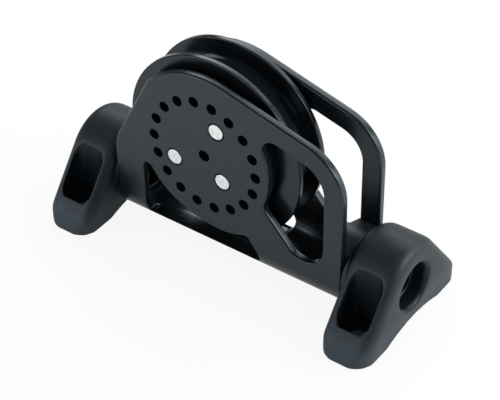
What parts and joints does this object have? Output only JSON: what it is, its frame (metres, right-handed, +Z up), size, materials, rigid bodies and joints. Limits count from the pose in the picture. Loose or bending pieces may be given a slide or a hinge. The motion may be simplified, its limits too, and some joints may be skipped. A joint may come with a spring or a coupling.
{
  "type": "pivoting lead pulley block",
  "caption": "Deck pulley block: a folded side frame with one large roller-bearing sheave swings between two screw-down feet, about the line led through hollow tubes.",
  "frame": {"origin": "on the deck, midway between the outer ends of the two feet and on the swing axis's plane", "axes": "+X along the swing axis, from the short end of the frame to its window end; +Y along the sheave axis, away from the viewed side; +Z up from the deck"},
  "size_m": [0.1474, 0.0674, 0.0872],
  "materials": {
    "foot_moulding": "matt black moulding",
    "lead_tube": "smooth black moulding",
    "frame_plate": "satin charcoal anodised",
    "bearing_hub": "satin dark anodised",
    "rivet": "bright faced stainless",
    "thrust_washer": "black bearing plastic",
    "end_bush": "dark grey bearing plastic",
    "sheave": "gloss black hard anodised",
    "roller_cage": "black bearing plastic",
    "roller": "ground steel"
  },
  "bodies": {
    "base": {"foot_left": "foot_moulding", "foot_right": "foot_moulding", "lead_tube_left": "lead_tube", "lead_tube_right": "lead_tube"},
    "frame": {"side_frame": "frame_plate", "bearing_hub": "bearing_hub", "hub_rivet_top": "rivet", "hub_rivet_low": "rivet", "hub_rivet_left": "rivet", "thrust_washer_near": "thrust_washer", "thrust_washer_far": "thrust_washer", "end_bush_left": "end_bush", "end_bush_right": "end_bush"},
    "sheave": {"sheave": "sheave"},
    "roller_set": {"roller_cage": "roller_cage", "roller_01": "roller", "roller_02": "roller", "roller_03": "roller", "roller_04": "roller", "roller_05": "roller", "roller_06": "roller", "roller_07": "roller", "roller_08": "roller", "roller_09": "roller", "roller_10": "roller", "roller_11": "roller", "roller_12": "roller", "roller_13": "roller", "roller_14": "roller", "roller_15": "roller", "roller_16": "roller"}
  },
  "joints": [
    {"name": "frame_pivot", "type": "hinge", "parent": "base", "child": "frame", "pos_m": [0, 0, 0.0176], "axis": [1, 0, 0], "range_deg": [-90, 90]},
    {"name": "sheave_spin", "type": "hinge", "parent": "frame", "child": "sheave", "pos_m": [-0.0091, 0, 0.0491], "axis": [0, 1, 0], "continuous": true},
    {"name": "cage_spin", "type": "hinge", "parent": "frame", "child": "roller_set", "pos_m": [-0.0091, 0, 0.0491], "axis": [0, 1, 0], "continuous": true}
  ],
  "couplings": [
    {"joint": "cage_spin", "follows": "sheave_spin", "ratio": 0.5448}
  ]
}
